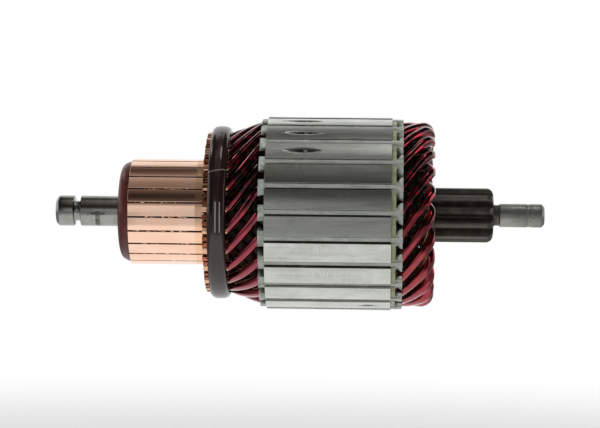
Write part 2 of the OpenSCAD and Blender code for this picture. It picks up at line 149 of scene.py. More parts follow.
class Look:
    """A Principled material and short ways to feed it. Its x, y, z and r (out from the shaft) are in
    millimetres, and a is the angle round the shaft in radians, 0 in front and growing upwards."""

    def __init__(self, name, colour, roughness, metallic=0.0, **sockets):
        self.mat = bpy.data.materials.new(name)
        self.mat.use_nodes = True
        self.tree = self.mat.node_tree
        self.bsdf = self.tree.nodes["Principled BSDF"]
        self.set("Base Color", colour_of(colour))
        self.set("Roughness", roughness)
        self.set("Metallic", metallic)
        for key, value in sockets.items():
            self.set(key.replace("_", " "), value)
        self.place = self.node("ShaderNodeTexCoord").outputs["Object"]
        x, y, z = self.node("ShaderNodeSeparateXYZ", {0: self.place}).outputs
        r = self.maths("SQRT", self.maths("MULTIPLY_ADD", y, y, self.times(z, z)))
        self.x, self.y, self.z, self.r = [self.times(v, 1 / MM) for v in (x, y, z, r)]
        self.a = self.maths("ARCTAN2", z, self.times(y, -1.0))
        polar = self.node("ShaderNodeCombineXYZ", {0: self.x, 1: self.times(self.a, self.r), 2: self.r})
        self.polar = polar.outputs[0]

    def node(self, kind, inputs=None, **props):
        return add_node(self.tree, kind, inputs, **props)

    def set(self, key, value):
        feed(self.tree, self.bsdf.inputs[key], value)

    def maths(self, operation, a, b=0.0, c=0.0):
        return self.node("ShaderNodeMath", {0: a, 1: b, 2: c}, operation=operation).outputs[0]

    def times(self, a, b):
        return self.maths("MULTIPLY", a, b)

    def noise(self, scale, detail=3.0, stretch=(1, 1, 1), rough=0.5, distortion=0.0):
        """Noise from 0 to 1; scale is in features per millimetre."""
        scales = tuple(s * scale for s in stretch)
        scaled = self.node("ShaderNodeMapping", {"Vector": self.polar, "Scale": scales}).outputs[0]
        n = self.node("ShaderNodeTexNoise", {"Vector": scaled, "Scale": 1.0, "Detail": detail,
                                             "Roughness": rough, "Distortion": distortion})
        return n.outputs[0]

    def ramp(self, value, low, high, to_low=0.0, to_high=1.0, smooth=True):
        inputs = dict(enumerate((value, low, high, to_low, to_high)))
        kind = "SMOOTHSTEP" if smooth else "LINEAR"
        return self.node("ShaderNodeMapRange", inputs, interpolation_type=kind).outputs[0]

    def fall(self, value, low, high, top=1.0):
        return self.ramp(value, low, high, top, 0.0)

    def window(self, value, start, full, fading, end):
        """0 up to the start, 1 from full to fading, and 0 again from the end."""
        return self.times(self.ramp(value, start, full), self.fall(value, fading, end))

    def apart(self, value, centre):
        return self.maths("ABSOLUTE", self.maths("SUBTRACT", value, centre))

    def near(self, value, centre, full, none, top=1.0):
        """The top as far as `full` from the centre, and 0 beyond `none`."""
        return self.fall(self.apart(value, centre), full, none, top)

    def blend(self, factor, a, b):
        """A number that goes from a to b with the factor."""
        return self.ramp(factor, 0, 1, a, b)

    def ragged(self, value, noise_value, by):
        return self.maths("ADD", value, self.ramp(noise_value, 0.2, 0.8, -by, by))

    def mix(self, factor, a, b):
        inputs = {0: factor, 6: colour_of(a), 7: colour_of(b)}
        return self.node("ShaderNodeMix", inputs, data_type="RGBA").outputs[2]

    def tint(self, value, low, high, a, b, most=1.0):
        """Colour a, turning to b as the value goes from low to high."""
        return self.mix(self.ramp(value, low, high, 0.0, most), a, b)

    def bump(self, height, strength, distance):
        n = self.node("ShaderNodeBump", {"Height": height, "Strength": strength, "Distance": distance * MM})
        self.set("Normal", n.outputs[0])


def steel_look():
    """The shaft: ground journals, with a blackened and greasy toothed part, and painted shade inside the
    winding.
    """
    look = Look("shaft_steel_look", (170, 171, 166), 0.3, 1.0)
    lines = look.noise(1.0, 3, (9, 0.02, 0.02))
    smear = look.noise(0.35, 3)
    stain = look.noise(0.9, 4, (0.6, 1, 1))
    bright = look.tint(smear, 0.35, 0.7, (160, 161, 156), (146, 147, 140))
    bright = look.tint(stain, 0.6, 0.75, bright, (96, 92, 84), 0.5)
    # A worn ring and a smudge on the journal.
    ring = look.times(look.near(look.x, -0.12, 0.5, 0.8), look.fall(look.a, -0.08, 0.0))
    smudge = look.times(look.near(look.a, -0.19, 0.05, 0.12), look.near(look.x, 0.0, 1.6, 2.4))
    mark = look.times(look.maths("MAXIMUM", ring, smudge), look.ramp(stain, 0.3, 0.6, 0.4, 0.85))
    bright = look.mix(mark, bright, (70, 70, 67))
    black = look.tint(smear, 0.4, 0.7, (84, 82, 77), (110, 104, 95))
    toothed = look.window(look.x, 86.0, 87.5, 111.9, 112.35)
    # Painted shade: inside the winding the shaft is painted dark and dull.
    painted_shade_in_winding = look.window(look.x, 83.0, 83.2, 93.0, 93.6)
    look.set("Base Color", look.mix(painted_shade_in_winding, look.mix(toothed, bright, black), (30, 28, 24)))
    drive = look.ramp(look.x, 111.9, 112.35)
    rough = look.ramp(lines, 0.3, 0.7, look.blend(drive, 0.2, 0.32), look.blend(drive, 0.27, 0.4))
    rough = look.blend(painted_shade_in_winding, rough, 0.7)
    look.set("Roughness", look.blend(toothed, rough, look.ramp(smear, 0.3, 0.7, 0.3, 0.5)))
    look.set("Metallic", look.blend(drive, look.ramp(look.x, 88.0, 89.0, 1.0, 0.72), 0.84))
    look.bump(lines, 0.1, 0.01)
    return look.mat


def copper_look():
    """Turned copper bars: a bright brush track and a duller, redder strip at the risers."""
    look = Look("bar_copper_look", (226, 160, 128), 0.25, 1.0)
    turning = look.noise(1.0, 4, (14, 0.08, 1))
    patch = look.noise(0.3, 3, (0.35, 1, 1))
    speck = look.noise(2.2, 3, (0.6, 1, 1))
    track = look.tint(patch, 0.3, 0.7, (253, 214, 190), (250, 206, 180))
    strip = look.tint(patch, 0.3, 0.7, (251, 206, 174), (243, 194, 158))
    riser = look.tint(speck, 0.35, 0.65, (196, 122, 90), (128, 74, 56))
    duller = look.ramp(look.ragged(look.x, speck, 0.15), 28.0, 28.2)
    raised = look.ramp(look.r, 14.9, 15.4)
    colour = look.mix(raised, look.mix(duller, track, strip), riser)
    oxide = look.fall(look.r, 14.55, 14.72, 0.85)
    look.set("Base Color", look.mix(oxide, colour, (60, 34, 26)))
    rough = look.blend(duller, look.ramp(turning, 0.3, 0.7, 0.07, 0.13), 0.24)
    look.set("Roughness", look.blend(raised, rough, look.ramp(speck, 0.3, 0.7, 0.35, 0.6)))
    look.bump(turning, 0.08, 0.02)
    return look.mat


def resin_look():
    """Dull red-brown phenolic moulding, with chips of copper left in the gaps."""
    look = Look("phenolic_resin_look", (96, 48, 38), 0.42)
    cloud = look.noise(0.5, 4)
    grain = look.noise(4.0, 3)
    body = look.tint(cloud, 0.3, 0.7, (98, 38, 26), (72, 24, 16))
    body = look.tint(grain, 0.62, 0.75, body, (136, 78, 60), 0.3)
    chip = look.noise(1.6, 4, (1.0, 1.6, 1.6), rough=0.7)
    chips = look.tint(chip, 0.60, 0.66, (38, 20, 14), (200, 140, 112))
    gap = look.times(look.ramp(look.x, 9.9, 10.0), look.ramp(look.r, 13.9, 14.1))
    look.set("Base Color", look.mix(gap, body, chips))
    look.set("Roughness", look.ramp(grain, 0.3, 0.7, 0.26, 0.42))
    look.bump(look.noise(3.0, 4), 0.25, 0.04)
    return look.mat


def core_look():
    """Turned electrical steel: faint turning lines, smudges and a few scratches, with painted highlights,
    painted shade in the slot mouths and painted light in the lowest ones.
    """
    look = Look("core_steel_look", (190, 192, 186), 0.34, 1.0)
    turning = look.noise(1.0, 4, (7, 0.05, 1))
    streak = look.noise(0.5, 4, (0.12, 1.6, 1))
    smudge = look.noise(0.16, 4, (0.6, 1, 1), distortion=0.6)
    scratch = look.noise(1.2, 2, (0.25, 4, 1), distortion=0.4)
    fine = look.noise(1.0, 2, (5, 0.25, 1))
    colour = look.tint(smudge, 0.3, 0.7, (206, 208, 203), (186, 190, 182))
    colour = look.tint(streak, 0.45, 0.75, colour, (162, 163, 152), 0.55)
    colour = look.tint(scratch, 0.70, 0.74, colour, (225, 226, 222), 0.5)
    # Painted highlights: in patches the fine turning lines are painted near white.
    painted_line_highlights = look.times(look.ramp(fine, 0.56, 0.62), look.ramp(smudge, 0.45, 0.65, 0.0, 0.4))
    colour = look.mix(painted_line_highlights, colour, (236, 237, 234))
    # The balancing cuts fade to the left and carry a painted glint near the middle.
    cuts_and_painted_light = look.tint(look.x, 52.8, 57.4, (150, 152, 147), (74, 75, 72))
    glint = look.times(look.near(look.x, 58.6, 0.2, 0.8), look.fall(look.r, 26.7, 26.8, 0.9))
    cuts_and_painted_light = look.mix(glint, cuts_and_painted_light, (236, 237, 234))
    # Painted shade: below the tooth tips the slot mouths' walls are painted dark.
    cuts_and_painted_light = look.tint(look.r, 26.3, 26.42, (70, 70, 66), cuts_and_painted_light)
    # Painted light: the lowest slot mouths are painted pale and less metallic, as if lit from below; the
    # cut in the lowest row stays dark.
    off_cut = look.ramp(look.apart(look.a, -radians(4.5 * PITCH)), 0.06, 0.08)
    low = look.times(look.fall(look.z, -22.0, -10.0), off_cut)
    cuts_and_painted_light = look.mix(look.times(low, 0.85), cuts_and_painted_light, (206, 206, 198))
    inside = look.fall(look.r, CORE_R - 0.3, CORE_R - 0.07)
    look.set("Base Color", look.mix(inside, colour, cuts_and_painted_light))
    look.set("Roughness", look.blend(inside, look.ramp(smudge, 0.3, 0.7, 0.14, 0.27), 0.5))
    look.set("Metallic", look.blend(look.times(inside, low), 1.0, 0.3))
    sheets = look.maths("SINE", look.times(look.x, 2 * pi / SHEET))
    look.bump(look.maths("MULTIPLY_ADD", sheets, 0.12, turning), 0.16, 0.03)
    return look.mat


def paper_look(name, light, dark, warm, painted_shade_in_stack=False):
    """Insulating paper or fibre, with a fine felted grain and a skin of varnish."""
    look = Look(name, light, 0.5)
    felt = look.noise(1.6, 4, (1.4, 1, 1), rough=0.6)
    cloud = look.noise(0.7, 3)
    colour = look.tint(felt, 0.3, 0.7, light, dark)
    colour = look.tint(cloud, 0.45, 0.7, colour, warm, 0.8)
    if painted_shade_in_stack:
        # Painted shade: the paper inside the slots is painted near black, and its corners beside the stack
        # a dark olive.
        in_slot = look.window(look.x, CORE_START + 0.1, CORE_START + 0.3, CORE_END - 0.2, CORE_END)
        colour = look.mix(in_slot, colour, (34, 35, 31))
        below_roof = look.fall(look.r, SLOT_TOP_R - 0.25, SLOT_TOP_R)
        corner = look.times(below_roof, look.near(look.x, 65.0, 17.6, 19.6, 0.85))
        colour = look.mix(corner, colour, (58, 62, 46))
    look.set("Base Color", colour)
    look.set("Roughness", look.ramp(cloud, 0.3, 0.7, 0.25, 0.5))
    look.bump(look.maths("MULTIPLY_ADD", cloud, 2.0, felt), 0.3, 0.05)
    return look.mat


def film_look():
    """Grey polyester film that closes the slot mouths, wavy and a little glossy."""
    look = Look("slot_film_look", (140, 143, 136), 0.25, Specular_IOR_Level=0.7)
    wave = look.noise(0.35, 3, (0.5, 2, 1))
    fine = look.noise(1.8, 3, (0.3, 2, 1))
    colour = look.tint(wave, 0.3, 0.7, (178, 181, 173), (150, 154, 145))
    look.set("Base Color", look.tint(fine, 0.55, 0.75, colour, (206, 208, 200), 0.6))
    look.set("Roughness", look.ramp(fine, 0.3, 0.7, 0.2, 0.36))
    look.bump(wave, 0.3, 0.08)
    return look.mat


# Heights between which the painted shade of the winding turns from lighter, painted as if lit from below on
# the underside, to dark.
SHADE_TURNS = (-18.0, -7.0)


def enamel_look():
    """Copper wire under glossy wine-red enamel, painted dark between the outer wires and over the inner
    ones as painted shade.
    The ends are stripped bare beside the risers."""
    look = Look("wire_enamel_look", (150, 44, 54), 0.2, 1.0, Coat_Weight=0.9, Coat_Roughness=0.03,
                Coat_IOR=1.5)
    cloud = look.noise(0.5, 3)
    fleck = look.noise(2.5, 3)
    riser_side = look.fall(look.x, 60.0, 61.0)
    red = look.tint(cloud, 0.3, 0.7, (158, 42, 52), (136, 30, 42))
    red = look.tint(fleck, 0.62, 0.74, red, (84, 16, 26), 0.5)
    red = look.mix(look.times(riser_side, 0.6), red, (136, 32, 56))
    # Higher up, patches of painted shade in a deeper red and of painted highlight in a brighter red.
    patch = look.noise(0.42, 2)
    painted_light_above = look.ramp(look.z, -12.0, 7.0)
    red = look.mix(look.times(painted_light_above, look.fall(patch, 0.45, 0.55, 0.9)), red, (58, 16, 20))
    painted_gleam = look.ramp(patch, 0.52, 0.62, 0.0, look.blend(riser_side, 1.0, 0.55))
    red = look.mix(look.times(painted_light_above, painted_gleam), red, (206, 24, 62))
    # Depth below the outside of the outer layer: on the riser side, then round the noses.
    top = look.ramp(look.x, TWIST_END, TWIST_START, RISER_OUTER_R, OUTER_R, smooth=False)
    depth = look.maths("SUBTRACT", look.maths("ADD", top, WIRE_H / 2), look.r)
    past = look.maths("MAXIMUM", look.maths("SUBTRACT", look.x, NOSE_START), 0.0)
    out = look.maths("SUBTRACT", look.r, MIDDLE_R)
    reach = look.maths("SQRT", look.maths("MULTIPLY_ADD", past, past, look.times(out, out)))
    nose = look.maths("SUBTRACT", NOSE_R + WIRE_H / 2 - 0.5, reach)
    inner = look.times(look.fall(out, -0.6, 0.2), look.fall(past, 0.0, 0.8))
    nose = look.maths("MULTIPLY_ADD", inner, 9.0, nose)
    depth = look.ragged(look.blend(riser_side, nose, depth), fleck, 0.15)
    # Painted shade: deeper than the outer layer's outside, the wire is painted a dark, dull colour.
    varnish = look.ramp(depth, 1.0, 1.5)
    # Painted highlight: a pale olive sheen line at the edge of the painted shade, weaker higher up.
    seam = look.times(look.window(depth, 1.3, 1.45, 1.6, 1.75), look.ramp(look.noise(0.3, 2), 0.42, 0.52))
    seam = look.times(seam, look.ramp(look.z, -5.0, 6.0, 1.0, 0.25))
    # The painted shade is lighter on the underside, as painted light from below.
    dark = look.tint(look.z, *SHADE_TURNS, (92, 50, 42), (38, 32, 24))
    dark = look.mix(seam, dark, (186, 176, 128))
    bare = look.fall(look.ragged(look.x, fleck, 0.5), BAND_END + 0.1, BAND_END + 0.3)
    copper = look.tint(fleck, 0.3, 0.7, (248, 204, 168), (180, 116, 84))
    look.set("Base Color", look.mix(bare, look.mix(varnish, red, dark), copper))
    look.set("Metallic", look.blend(varnish, 1.0, 0.0))
    look.set("Roughness", look.blend(varnish, look.ramp(cloud, 0.3, 0.7, 0.05, 0.1), 0.5))
    look.bump(look.noise(0.9, 2), 0.15, 0.05)
    return look.mat


def inner_shade_look():
    """The inner layer of the winding, painted dark green-black as painted shade, lighter on the underside
    as painted light from below.
    """
    look = Look("wire_inner_shade_look", (22, 24, 15), 0.55, Specular_IOR_Level=0.2)
    cloud = look.noise(0.8, 3)
    colour = look.tint(cloud, 0.3, 0.7, (48, 46, 32), (46, 24, 22))
    # Painted light: lighter on the underside.
    look.set("Base Color", look.tint(look.z, *SHADE_TURNS, (92, 52, 42), colour))
    look.set("Roughness", look.ramp(cloud, 0.3, 0.7, 0.45, 0.7))
    look.bump(look.noise(1.6, 3), 0.3, 0.05)
    return look.mat


def band_look():
    """Roving soaked in glossy black-brown resin, with two painted reflections as pale lines, and the
    roving's end.
    """
    look = Look("band_resin_look", (30, 20, 19), 0.14, Specular_IOR_Level=0.65)
    cloud = look.noise(0.3, 3, (1, 0.5, 1))
    turns = look.noise(1.0, 2, (2.4, 0.03, 1))
    colour = look.tint(cloud, 0.3, 0.7, (44, 25, 22), (28, 17, 15))
    length = look.window(look.a, -0.235, -0.225, 0.11, 0.12)
    # Painted reflections: two pale lines across the front of the band.
    for reflection_x in (34.45, 35.6):
        painted_reflection = look.times(look.near(look.x, reflection_x, 0.07, 0.16), length)
        colour = look.mix(painted_reflection, colour, (176, 164, 160))
    end_angle, end_slant = 0.2325, -0.0075
    end = look.near(look.maths("MULTIPLY_ADD", look.x, end_slant, look.a), end_angle, 0.004, 0.009, 0.8)
    look.set("Base Color", look.mix(end, colour, (128, 118, 114)))
    look.set("Roughness", look.ramp(cloud, 0.3, 0.7, 0.10, 0.2))
    look.bump(look.maths("MULTIPLY_ADD", turns, 0.6, look.noise(0.8, 2)), 0.12, 0.04)
    return look.mat


STEEL = steel_look()
COPPER = copper_look()
RESIN = resin_look()
CORE = core_look()
PAPER = paper_look("liner_paper_look", (198, 204, 196), (160, 168, 159), (122, 131, 118), True)
FIBRE = paper_look("disc_fibre_look", (166, 171, 138), (146, 152, 116), (128, 130, 94))
FILM = film_look()
ENAMEL = enamel_look()
INNER_SHADE = inner_shade_look()
BAND = band_look()


# --- shaft and gear

TEETH, MODULE, TIP_R = 11, 1.2, 7.65
GEAR_ROOT_R = TIP_R - 2.25 * MODULE
PRESSURE_ANGLE = radians(20)
TOOTH_WIDTH = 1.12
GEAR_TURN = 23.45
TOOTH_ROUND = 2.0


def add_walls(verts, faces, rings, closed=False):
    """Joins rings of points, each to the next, and the last to the first if closed."""
    n, base = len(rings[0]), len(verts)
    for ring_points in rings:
        verts.extend(ring_points)
    for m in range(len(rings) - (0 if closed else 1)):
        for k in range(n):
            a, b = m * n + k, m * n + (k + 1) % n
            faces.append(tuple(base + v % (len(rings) * n) for v in (a, b, b + n, a + n)))


def add_prism(verts, faces, rings):
    """Joins rings of points into one closed tube with ends."""
    n, base = len(rings[0]), len(verts)
    add_walls(verts, faces, rings)
    faces.append(tuple(base + k for k in range(n)))
    faces.append(tuple(base + (len(rings) - 1) * n + k for k in reversed(range(n))))


def tooth_radius(offset):
    """Radius of the gear's outline at the angle offset from the middle of a tooth."""
    base_r = TEETH * MODULE / 2 * cos(PRESSURE_ANGLE)
    half = radians(90 / TEETH * TOOTH_WIDTH) + tan(PRESSURE_ANGLE) - PRESSURE_ANGLE
    offset = abs(radians(offset))
    if offset >= half:
        spare = min(1.0, (offset - half) / (pi / TEETH - half))
        return base_r - 0.02 - (base_r - GEAR_ROOT_R) * sin(spare * pi / 2) ** 0.7
    roll = 0.0
    for _ in range(24):
        turn = half - (roll - atan(roll))
        roll += (turn - offset) * 0.9 / max(0.12, roll * roll / (1 + roll * roll))
        roll = max(0.0, roll)
    return min(TIP_R, base_r * sqrt(1 + roll * roll))


def shaft_profile():
    """Stations and radii of the shaft without its teeth, with a centre hole in each end."""
    hole = ((2.3, 0.5), (1.25, 0.58), (0.06, 1.24))
    p = [(SHAFT_START + depth, r) for depth, r in hole]
    p += [(SHAFT_START, 1.3), (SHAFT_START, 3.3), (-11.93, 3.45), (-11.28, 4.12), (-11.15, 4.22),
          (-11.0, 4.25), (-7.2, 4.25), (-7.08, 4.24), (-7.0, 4.18), (-6.95, 4.05), (-6.95, 2.95),
          (-6.9, 2.84), (-6.8, 2.8), (-5.25, 2.8), (-5.15, 2.84), (-5.1, 2.95), (-5.1, 4.05), (-5.06, 4.18),
          (-4.98, 4.24), (-4.85, 4.25), (4.0, 4.25), (5.7, 4.25), (5.7, 4.7), (6.0, 5.0), (30, 5.0),
          (42.9, 5.0), (44.7, 6.6), (60, 6.6), (85.35, 6.6), (86.35, 5.6), (88.6, 5.6), (88.9, 5.66),
          (89.1, 5.75), (90.3, 7.2), (90.55, 7.36), (91.1, 7.4), (91.4, 7.2)]
    p += [(x, 4.95) for x in spread(92.9, 108.3, 12) + [108.6, 108.95, 109.3, 109.6, 109.9]]
    p += [(110.1, 4.9), (110.3, 4.6), (110.45, 4.1), (110.5, 3.5), (110.53, 3.3), (110.62, 3.1),
          (110.78, 2.96), (111.1, 2.9), (111.95, 2.9), (112.15, 2.96), (112.3, 3.12), (112.42, 3.23),
          (112.6, 3.275), (119.85, 3.275), (119.93, 3.26), (120.05, 3.17), (120.75, 3.17), (120.87, 3.26),
          (120.95, 3.275), (123.85, 3.275), (124.0, 3.25), (124.15, 3.15), (124.7, 2.62), (SHAFT_END, 2.45),
          (SHAFT_END, 1.3)]
    return p + [(SHAFT_END - depth, r) for depth, r in reversed(hole)]


def blank_radius(x):
    """Radius that the teeth reach at the station x, rounded over at the drive end."""
    if not GEAR_START <= x <= GEAR_END:
        return 0.0
    into_round = max(0.0, 1 - (GEAR_END - x) / TOOTH_ROUND)
    return TIP_R - TOOTH_ROUND * (1 - sqrt(1 - into_round ** 2))


def build_shaft():
    turns = spread(0, 360, TEETH * 28)[:-1]
    teeth = [tooth_radius((a - GEAR_TURN + 180 / TEETH) % (360 / TEETH) - 180 / TEETH) for a in turns]
    rings = []
    for x, r in shaft_profile():
        top = blank_radius(x)
        rings.append([at(x, max(r, min(top, tooth)), a) for a, tooth in zip(turns, teeth)])
    verts, faces = [], []
    add_walls(verts, faces, rings)
    # The tips of the centre holes.
    n, depth = len(turns), 2.6
    for first, x in ((0, SHAFT_START + depth), ((len(rings) - 1) * n, SHAFT_END - depth)):
        faces += [(first + k, first + (k + 1) % n, len(verts)) for k in range(n)]
        verts.append(at(x, 0, 0))
    return mesh_piece("shaft_turned", verts, faces, [STEEL], 35)


stand_for(build_shaft(), "shaft_steel", "shaft")


# --- solids on a grid of cells

# A cell's six neighbours, each with the corners of the face towards it. Corner 4a + 2b + d is a cell
# on in x, b in r and d in columns.
SIDES = (((-1, 0, 0), (0, 1, 3, 2)), ((1, 0, 0), (4, 6, 7, 5)), ((0, -1, 0), (0, 4, 5, 1)),
         ((0, 1, 0), (2, 3, 7, 6)), ((0, 0, -1), (0, 2, 6, 4)), ((0, 0, 1), (1, 5, 7, 3)))


def cell_solid(name, xs, rs, count, solid, place, mat, sharp, closed=False):
    """Faces between the solid and empty cells of a grid. solid(i, j, k) says which cells are solid, and
    place(x, r, k) gives the corner of column k. The columns can close into a ring."""
    index, verts, faces = {}, [], []
    columns = range(count if closed else count - 1)
    cells = [(i, j, k) for i in range(len(xs) - 1) for j in range(len(rs) - 1) for k in columns
             if solid(i, j, k)]
    filled = set(cells)

    def wrap(k):
        return k % count if closed else k

    def corner(i, j, k):
        key = (i, j, wrap(k))
        if key not in index:
            index[key] = len(verts)
            verts.append(place(xs[i], rs[j], wrap(k)))
        return index[key]

    for i, j, k in cells:
        c = [corner(i + a, j + b, k + d) for a in (0, 1) for b in (0, 1) for d in (0, 1)]
        for (di, dj, dk), side in SIDES:
            if (i + di, j + dj, wrap(k + dk)) not in filled:
                faces.append(tuple(c[n] for n in side))
    return mesh_piece(name, verts, faces, [mat], sharp)


def from_slot(x, y, r, slot_angle):
    """A point y to the side of a slot's middle plane and r out along it."""
    return at(x, hypot(r, y), slot_angle + degrees(atan2(y, r)))


# --- commutator

# The commutator is turned against the slots by this angle.
SHIFT = -1.83
BAR_GAP, RISER_SLOT_R, WORN_R, GAP_FLOOR_R = 0.45, 16.2, 20, 14.15


def build_bar(number):
    angle = SHIFT + number * PITCH
    rnd = random.Random(100 + number)
    xs = [BARS_START, 12, 16, 20, 24, 27, RISER_START, 32.1, 33.5, RISER_END]
    rs = [9.8, 12, TRACK_R, RISER_SLOT_R, 18.6, 20.8, RISER_R]
    # Columns across the bar: 1 is the wall of the riser's slot and 2 the side of the bar.
    lateral = [n / 2 for n in range(-4, 5)]
    bend = rnd.uniform(-0.05, 0.05)
    lift = rnd.uniform(-0.08, 0.0)

    def solid(i, j, k):
        beside_slot = rs[j] < RISER_SLOT_R or abs(lateral[k] + lateral[k + 1]) > 2
        return rs[j] < TRACK_R or (xs[i] >= RISER_START and beside_slot)

    def place(x, r, k):
        half = tan(radians(PITCH / 2)) * r - BAR_GAP / 2
        slot = min(1.6, half * 0.55)
        s = lateral[k]
        y = copysign(slot * abs(s) if abs(s) <= 1 else slot + (half - slot) * (abs(s) - 1), s)
        if r > WORN_R:
            x += bend * (r - WORN_R)
            r = r + lift + rnd.uniform(-0.03, 0.0)
            y *= 1 + rnd.uniform(-0.015, 0.0)
        reach = sqrt(max(0.01, r * r - y * y))
        return at(x, hypot(reach, y), angle + degrees(atan2(y, reach)))

    bar = cell_solid(f"bar_{number + 1:02d}", xs, rs, len(lateral), solid, place, COPPER, 40)
    bevel(bar, 0.12)
    stand_for(bar, "bar_copper", f"commutator_bar_{number + 1:02d}")


for number in range(SLOTS):
    build_bar(number)


def revolved(profile, columns, wobble):
    """Points and faces of a ring from a closed profile of (x, r) points. wobble(x, r, angle) gives
    the real radius of each."""
    verts, faces, rings = [], [], []
    for angle in spread(0, 360, columns)[:-1]:
        rings.append([at(x, wobble(x, r, angle), angle) for x, r in profile])
    add_walls(verts, faces, rings, closed=True)
    return verts, faces


def add_swarf(verts, faces):
    """Slivers of copper that the brushes have dragged into the gaps between the bars."""
    rnd = random.Random(41)
    for gap in range(SLOTS):
        middle = SHIFT + (gap + 0.5) * PITCH
        for _ in range(rnd.choice((4, 9, 16, 24, 34))):
            x = rnd.uniform(10.5, 26.0)
            length, width = rnd.uniform(0.2, 1.1), rnd.uniform(0.18, 0.32)
            side = rnd.choice((-1, 1)) * (BAR_GAP / 2 - width / 2)
            top, tilt = rnd.uniform(14.54, 14.68), rnd.uniform(-0.06, 0.06)
            foot = GAP_FLOOR_R - 0.05
            section = ((-1, foot), (-1, top - tilt), (1, top + tilt), (1, foot))
            rings = []
            for xx, wide in ((x, 0.5), (x + length * 0.3, 1.0), (x + length, 0.4)):
                rings.append([from_slot(xx, side + s * width / 2 * wide, r, middle) for s, r in section])
            add_prism(verts, faces, rings)


def build_moulding():
    # A nearly flat face, a round corner, the floor of the gaps, and the back under the risers.
    profile = [(5.7, 5.0), (5.74, 5.4), (5.8, 6.0), (5.9, 7.0), (6.02, 8.2), (6.15, 9.4), (6.28, 10.6),
               (6.4, 11.4), (6.52, 12.0), (6.68, 12.45), (6.92, 12.85), (7.25, 13.2), (7.65, 13.5),
               (8.15, 13.75), (8.7, 13.93), (9.2, 14.03), (9.55, 14.07), (9.9, 14.12)]
    profile += [(x, GAP_FLOOR_R) for x in (12, 20, 28, 34.1)]
    profile += [(34.1, 13.15), (36.2, 13.15), (36.4, 12.95), (36.4, 5.0)]

    def wobble(x, r, angle):
        on_face = 5.75 < x < 9.2
        return r + 0.03 * noise.noise(Vector((x * 0.6, angle * 0.05, 3.0))) if on_face else r

    verts, faces = revolved(profile, 184, wobble)
    resin_faces = len(faces)
    add_swarf(verts, faces)
    mats = [0] * resin_faces + [1] * (len(faces) - resin_faces)
    return mesh_piece("moulding_turned", verts, faces, [RESIN, COPPER], 40, mats)


stand_for(build_moulding(), "phenolic_resin", "commutator_moulding")


# --- core

# Balancing cuts: the tooth, the middle from the core's start, and the length.
CUTS = [(-5, 9.7, 12), (-4, 10.2, 11.5), (-3, 10.2, 10.5), (4, 28.1, 6.5)]
CUT_DEPTH, CUT_W = 0.5, 1.7


def slot_columns(r):
    """Angles of one pitch's columns at the radius r, from the middle of a slot to the next. Inside
    the slots they run straight in to the shaft."""
    r = max(r, SLOT_BOTTOM_R)

    def turn(y):
        return degrees(asin(min(0.99, y / r)))
    first = [0.0, turn(MOUTH_HALF), turn(SLOT_HALF)]
    # On the tooth the columns stand at these distances from its middle, where there is room.
    inner = [PITCH / 2 - degrees(t / r) for t in (1.9, 1.35, 0.95, 0.62, 0.3, 0.0)]
    inner = [max(first[2] + 0.3 + 0.1 * n, a) for n, a in enumerate(inner)]
    left = first + inner
    return left + [PITCH - a for a in reversed(left[1:-1])]


COLUMNS = len(slot_columns(CORE_R))


def slotted_ring(name, xs, rs, mat, sharp, rim):
    """A ring with the slots in it. rim(x, slot, column, turn) gives the radius of its outside."""
    table = {r: slot_columns(r) for r in rs}
    in_slot, in_mouth = {0, 1, COLUMNS - 2, COLUMNS - 1}, {0, COLUMNS - 1}

    def solid(i, j, k):
        cut = in_slot if rs[j] < SLOT_TOP_R else in_mouth
        return rs[j] < SLOT_BOTTOM_R or k % COLUMNS not in cut

    def place(x, r, k):
        slot, column = divmod(k, COLUMNS)
        turn = table[r][column]
        return at(x, rim(x, slot, column, turn) if r == rs[-1] else r, slot * PITCH + turn)

    return cell_solid(name, xs, rs, SLOTS * COLUMNS, solid, place, mat, sharp, closed=True)


def build_core():
    def rim(x, slot, column, turn):
        r, y = CORE_R, radians(turn - PITCH / 2) * CORE_R
        for tooth, middle, length in CUTS:
            if slot == tooth % SLOTS:
                wheel = length * length / 8 / CUT_DEPTH
                d = CUT_DEPTH - (x - CORE_START - middle) ** 2 / 2 / wheel - abs(y) * CUT_DEPTH * 2 / CUT_W
                r -= max(0.0, d)
        return r

    rs = [6.6, 12.0, SLOT_BOTTOM_R, 22.4, SLOT_TOP_R, 26.6, CORE_R]
    core = slotted_ring("stack_turned", spread(CORE_START, CORE_END, 68), rs, CORE, 30, rim)
    bevel(core, 0.12, 1, 50)
    return core


stand_for(build_core(), "core_steel", "lamination_stack")


def build_disc():
    def rim(x, slot, column, turn):
        return DISC_R + 0.06 * noise.noise(Vector((x, slot * 0.9 + column * 0.1, 0.0)))

    rs = [6.7, 12.0, SLOT_BOTTOM_R, 22.4, SLOT_TOP_R, DISC_R]
    disc = slotted_ring("disc_punched", [CORE_END, CORE_END + 0.6, DISC_END], rs, FIBRE, 35, rim)
    bevel(disc, 0.15)
    return disc


stand_for(build_disc(), "disc_fibre", "end_insulator")


# --- liners

def offset_outline(path, thickness):
    """Closed outline round an open path of (y, r) points."""
    left, right = [], []
    for n, (y, r) in enumerate(path):
        (y0, r0), (y1, r1) = path[max(0, n - 1)], path[min(len(path) - 1, n + 1)]
        share = thickness / 2 / hypot(y1 - y0, r1 - r0)
        dy, dr = (r0 - r1) * share, (y1 - y0) * share
        left.append((y + dy, r + dr))
        right.append((y - dy, r - dr))
    return left + right[::-1]


def arc_points(cy, cr, radius, start, end, count):
    turns = [radians(a) for a in spread(start, end, count)]
    return [(cy + radius * cos(a), cr + radius * sin(a)) for a in turns]


